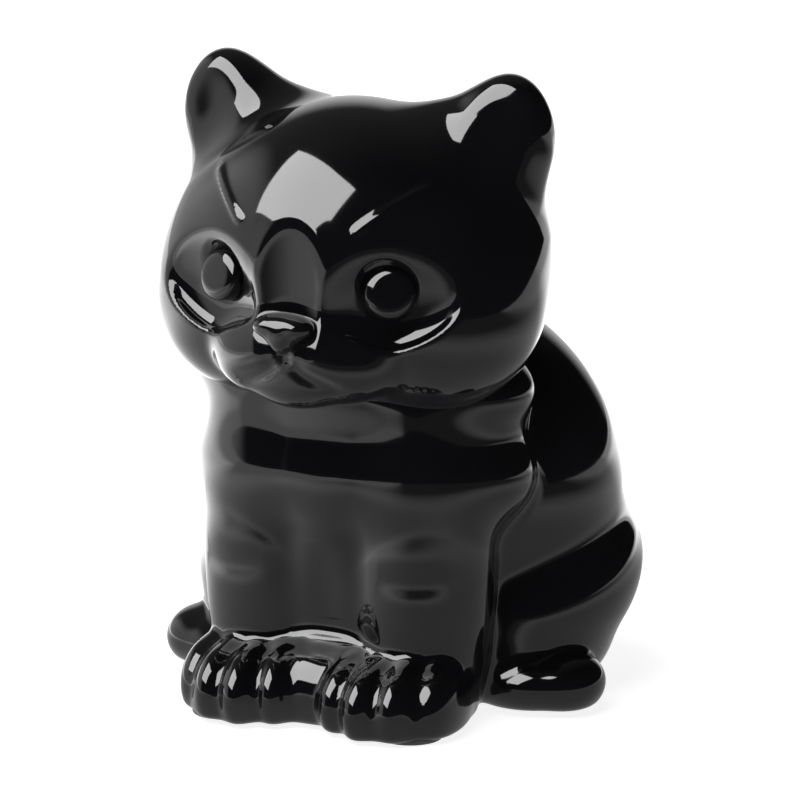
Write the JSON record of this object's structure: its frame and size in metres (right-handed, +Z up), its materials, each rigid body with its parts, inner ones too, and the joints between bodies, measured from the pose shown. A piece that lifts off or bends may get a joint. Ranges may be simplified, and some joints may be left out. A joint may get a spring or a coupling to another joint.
{
  "type": "cat figurine",
  "caption": "Small free-standing ornament of a seated kitten with a large round head and pricked ears, hollow glazed ceramic with felt pads under its flat foot.",
  "frame": {"origin": "the middle of the bounding box on the table surface, under the felt pads", "axes": "+Z up, the kitten faces -Y, its left side is +X"},
  "size_m": [0.089, 0.0916, 0.1214],
  "materials": {
    "glaze": "high gloss black glaze",
    "felt": "matt pressed felt"
  },
  "bodies": {
    "root": {"body_shell": "glaze", "head_shell": "glaze", "left_ear": "glaze", "right_ear": "glaze", "left_eye": "glaze", "right_eye": "glaze", "nose": "glaze", "left_foreleg": "glaze", "right_foreleg": "glaze", "left_hind_paw": "glaze", "right_hind_paw": "glaze", "tail": "glaze", "felt_pads": "felt"}
  },
  "joints": []
}
